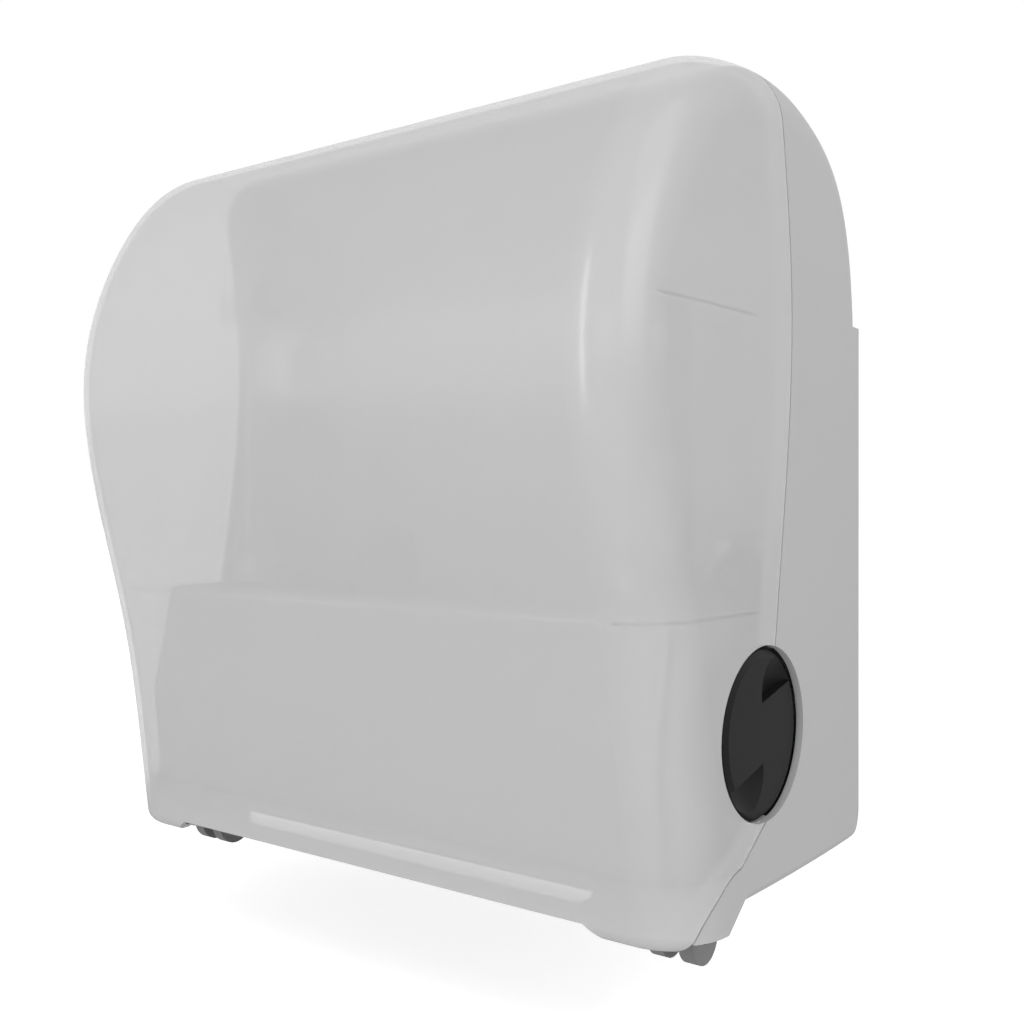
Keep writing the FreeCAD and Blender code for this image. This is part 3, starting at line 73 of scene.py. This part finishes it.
class Shader:
    # a node tree and the nodes added to it
    def __init__(self, tree):
        self.tree = tree

    def node(self, kind, settings=None, output=0, **values):
        # settings are set before the sockets; i0, i1 ... name sockets by number
        made = self.tree.nodes.new(kind)
        for key, value in (settings or {}).items():
            setattr(made, key, value)
        for key, value in values.items():
            numbered = key[0] == "i" and key[1:].isdigit()
            self.put(made.inputs[int(key[1:])] if numbered else made.inputs[key], value)
        return Field(self.tree, made.outputs[output])

    def put(self, socket, value):
        if isinstance(value, Field):
            self.tree.links.new(value.socket, socket)
        elif isinstance(value, tuple) and len(value) == 3 and len(socket.default_value) == 4:
            socket.default_value = (*value, 1)
        else:
            socket.default_value = value

    def noise(self, scale, detail):
        # scale counts in millimetres of the object
        spot = self.node("ShaderNodeTexCoord", output=3)
        spot = self.node("ShaderNodeVectorMath", {"operation": "SCALE"}, i0=spot, Scale=1000.0)
        return self.node("ShaderNodeTexNoise", Vector=spot, Scale=scale, Detail=detail, Roughness=0.5)

    def mix(self, factor, first, second):
        return self.node("ShaderNodeMix", {"data_type": "RGBA"}, output=2, i0=factor, i6=first, i7=second)

    def bump(self, height, strength, distance):
        return self.node("ShaderNodeBump", Height=height, Strength=strength, Distance=distance)


class Finish(Shader):
    # one material, with its surface shader
    def __init__(self, name):
        self.material = bpy.data.materials.new(name)
        self.material.use_nodes = True
        super().__init__(self.material.node_tree)
        self.surface = self.tree.nodes["Principled BSDF"]

    def set(self, **values):
        for key, value in values.items():
            self.put(self.surface.inputs[key.replace("_", " ")], value)


# finishes: scales are per millimetre, grainDepth in metres

plainIor = 1.46
grainDepth = 0.00005

caseLook = {"colour": (0.53, 0.53, 0.53), "colourDeep": (0.515, 0.515, 0.517), "roughness": 0.6,
            "roughnessSpread": 0.06, "cloudScale": 0.02, "grainScale": 2.2, "grain": 0.05, "ior": 1.38}
# the cover's lower-lip colour is painted shade, darker than the rest of the cover
coverLook = {"colour": (0.80, 0.80, 0.80), "colourDeep": (0.785, 0.785, 0.787), "roughness": 0.2,
             "roughnessSpread": 0.02, "cloudScale": 0.012, "grainScale": 1.6, "grain": 0.03,
             "ior": 1.55, "solid": 0.5, "solidLow": 0.97, "lowPaintedShade": (0.59, 0.59, 0.592),
             "lowEdge": -0.150, "lowFade": 0.025, "innerMatt": 0.7}
knobLook = {"colour": (0.006, 0.006, 0.0062), "colourDeep": (0.008, 0.008, 0.0082), "roughness": 0.5,
            "roughnessSpread": 0.10, "cloudScale": 0.08, "grainScale": 3.0, "grain": 0.12, "ior": 1.25}
hingeLook = {"colour": (0.19, 0.19, 0.192), "colourDeep": (0.23, 0.23, 0.232), "roughness": 0.5,
             "roughnessSpread": 0.10, "cloudScale": 0.08, "grainScale": 3.0, "grain": 0.15}
frameLook = {"colour": (0.32, 0.32, 0.325), "colourDeep": (0.36, 0.36, 0.365), "roughness": 0.6,
             "roughnessSpread": 0.12, "cloudScale": 0.03, "grainScale": 2.6, "grain": 0.2}
drumLook = {"colour": (0.20, 0.20, 0.205), "colourDeep": (0.24, 0.24, 0.245), "roughness": 0.45,
            "roughnessSpread": 0.10, "cloudScale": 0.05, "grainScale": 2.6, "grain": 0.15}
acetalLook = {"colour": (0.62, 0.62, 0.60), "colourDeep": (0.58, 0.58, 0.56), "roughness": 0.36,
              "roughnessSpread": 0.08, "cloudScale": 0.06, "grainScale": 2.6, "grain": 0.06}
rubberLook = {"colour": (0.035, 0.035, 0.036), "colourDeep": (0.055, 0.055, 0.056), "roughness": 0.78,
              "roughnessSpread": 0.12, "cloudScale": 0.2, "grainScale": 4.0, "grain": 0.5}
steelLook = {"colour": (0.56, 0.56, 0.57), "colourDeep": (0.42, 0.42, 0.43), "roughness": 0.34,
             "roughnessSpread": 0.20, "cloudScale": 0.4, "grainScale": 5.0, "grain": 0.10}


def moulded(name, look):
    # a soft cloudiness in the colour and a fine grain in the surface
    finish = Finish(name)
    cloud = finish.noise(look["cloudScale"], 4.0)
    grain = finish.noise(look["grainScale"], 2.0)
    finish.shade = finish.mix(cloud, look["colour"], look["colourDeep"])
    finish.set(Base_Color=finish.shade, IOR=look.get("ior", plainIor),
               Roughness=look["roughness"] + (grain - 0.5) * look["roughnessSpread"],
               Normal=finish.bump(grain, look["grain"], grainDepth))
    return finish


def frostedCover():
    # pale moulded cover that lets a little of the inside show, less so along its thicker lower lip, whose
    # colour is darkened as painted shade
    finish = moulded("coverPlastic", coverLook)
    spot = finish.node("ShaderNodeTexCoord", output=3)
    height = finish.node("ShaderNodeSeparateXYZ", output=2, Vector=spot)
    low = ((coverLook["lowEdge"] - height) / coverLook["lowFade"] + 0.5).atMost(1.0).atLeast(0.0)
    inner = finish.node("ShaderNodeNewGeometry", output=6)  # one on the shell's matt inner face
    solid = coverLook["solid"]
    # the colour mixes towards a darker grey along the lower lip: painted shade
    finish.set(Alpha=low * (coverLook["solidLow"] - solid) + solid,
               Base_Color=finish.mix(low, finish.shade, coverLook["lowPaintedShade"]),
               Roughness=inner * coverLook["innerMatt"] + coverLook["roughness"])
    return finish


def platedSteel():
    finish = moulded("platedSteel", steelLook)
    finish.set(Metallic=1.0)
    return finish


finishes = {
    "case_plastic": moulded("casePlastic", caseLook), "cover_plastic": frostedCover(),
    "dark_plastic": moulded("knobPlastic", knobLook), "frame_plastic": moulded("framePlastic", frameLook),
    "drum_plastic": moulded("drumPlastic", drumLook), "acetal": moulded("acetalPlastic", acetalLook),
    "rubber": moulded("softRubber", rubberLook), "steel": platedSteel(),
}
hingePlastic = moulded("hingePlastic", hingeLook)
slotOf = {entry["node"]: entry["material_slot"] for entry in frame["record"]["subparts"]}

for name, piece in nodes.items():
    finish = hingePlastic if name.startswith("hinge_block") else finishes[slotOf[name]]
    piece.data.materials.clear()
    piece.data.materials.append(finish.material)
    for face in piece.data.polygons:
        face.material_index = 0
print("finishes set on", len(nodes), "pieces")


# studio: soft lamps, all turned to the middle of the object, and a white surround

lampTarget = (0, -0.1, 0)
lamps = {
    "keyLamp": {"spot": (-0.9, -2.1, 0.2), "width": 1.6, "height": 1.6, "power": 8.0},
    "stripLamp": {"spot": (0.12, -2.1, 0.1), "width": 0.24, "height": 2.6, "power": 17.0},
    "sideLamp": {"spot": (2.0, -0.6, 0.9), "width": 1.2, "height": 1.2, "power": 11.0},
    "topLamp": {"spot": (1.2, -0.3, 1.4), "width": 1.0, "height": 1.0, "power": 4.0},
}


def lamp(name, spot, width, height, power):
    data = bpy.data.lights.new(name, "AREA")
    data.shape = "RECTANGLE"
    data.size = width
    data.size_y = height
    data.energy = power
    lampObject = bpy.data.objects.new(name, data)
    lampObject.location = spot
    lampObject.rotation_euler = (Vector(lampTarget) - Vector(spot)).to_track_quat("-Z", "Y").to_euler()
    scene.collection.objects.link(lampObject)


for name, values in lamps.items():
    lamp(name, **values)

surround = {"colour": (1, 1, 1), "fill": 0.46}  # fill is its strength where it isn't seen
world = bpy.data.worlds.new("surround")
scene.world = world
world.use_nodes = True
sky = Shader(world.node_tree)
path = sky.node("ShaderNodeLightPath")
seen = (path + path.output("Is Glossy Ray") + path.output("Is Transmission Ray")).atMost(1.0)
background = world.node_tree.nodes["Background"]
sky.put(background.inputs["Color"], surround["colour"])
sky.put(background.inputs["Strength"], seen * (1.0 - surround["fill"]) + surround["fill"])


# stage: a pale floor under the object and the wall that it hangs on

floorLook = {"drop": 0.03, "reach": 9.0, "shade": 0.9, "shadeDeep": 0.891, "fleckScale": 0.05,
             "fleckDetail": 2.0, "roughness": 0.9, "glow": 0.62}
wallLook = {"behind": 0.002, "inset": 0.02, "insetHigh": 0.04, "shade": 0.45, "shadeDeep": 0.42,
            "fleckScale": 0.4, "fleckDetail": 3.0, "roughness": 0.9}


def paper(name, look):
    finish = Finish(name)
    fleck = finish.noise(look["fleckScale"], look["fleckDetail"])
    finish.set(Base_Color=finish.mix(fleck, (look["shade"],) * 3, (look["shadeDeep"],) * 3),
               Roughness=look["roughness"])
    return finish


def sheet(name, corners, finish):
    mesh = bpy.data.meshes.new(name)
    mesh.from_pydata(corners, [], [(0, 1, 2, 3)])
    mesh.materials.append(finish.material)
    stageObject = bpy.data.objects.new(name, mesh)
    scene.collection.objects.link(stageObject)


def paleFloor():
    # reads white to the camera, and keeps the object's soft shadow
    finish = paper("floorPaper", floorLook)
    direct = finish.node("ShaderNodeLightPath")
    glow = finish.mix(direct, (0.0, 0.0, 0.0), (floorLook["glow"],) * 3)
    finish.set(Emission_Color=glow, Emission_Strength=1.0)
    edge, low = floorLook["reach"], cadBox[0][2] - floorLook["drop"]
    sheet("floor", [(-edge, -edge, low), (edge, -edge, low), (edge, edge, low), (-edge, edge, low)],
          finish)


def wallBehind():
    # hidden behind the case
    (left, front, low), (right, back, high) = cadBox
    inset, insetHigh, depth = wallLook["inset"], wallLook["insetHigh"], back + wallLook["behind"]
    sheet("wall", [(left + inset, depth, low + insetHigh), (right - inset, depth, low + insetHigh),
                   (right - inset, depth, high - insetHigh), (left + inset, depth, high - insetHigh)],
          paper("wallPaint", wallLook))


paleFloor()
wallBehind()


# camera at the photograph's angle

view = {"spot": (0.3592, -0.5232, 0.0), "tilt": 90.0, "turn": 36.67, "focalPixels": 1167.0,
        "frame": 1024, "horizonRow": 503.7, "sensor": 36.0}
camera = bpy.data.objects.new("camera", bpy.data.cameras.new("camera"))
camera.location = view["spot"]
camera.rotation_euler = (math.radians(view["tilt"]), 0, math.radians(view["turn"]))
camera.data.sensor_width = view["sensor"]
camera.data.lens = view["sensor"] * view["focalPixels"] / view["frame"]
camera.data.shift_y = (view["horizonRow"] - view["frame"] / 2) / view["frame"]
scene.collection.objects.link(camera)
scene.camera = camera
scene.view_settings.view_transform = "Standard"
print("lamps and camera set")
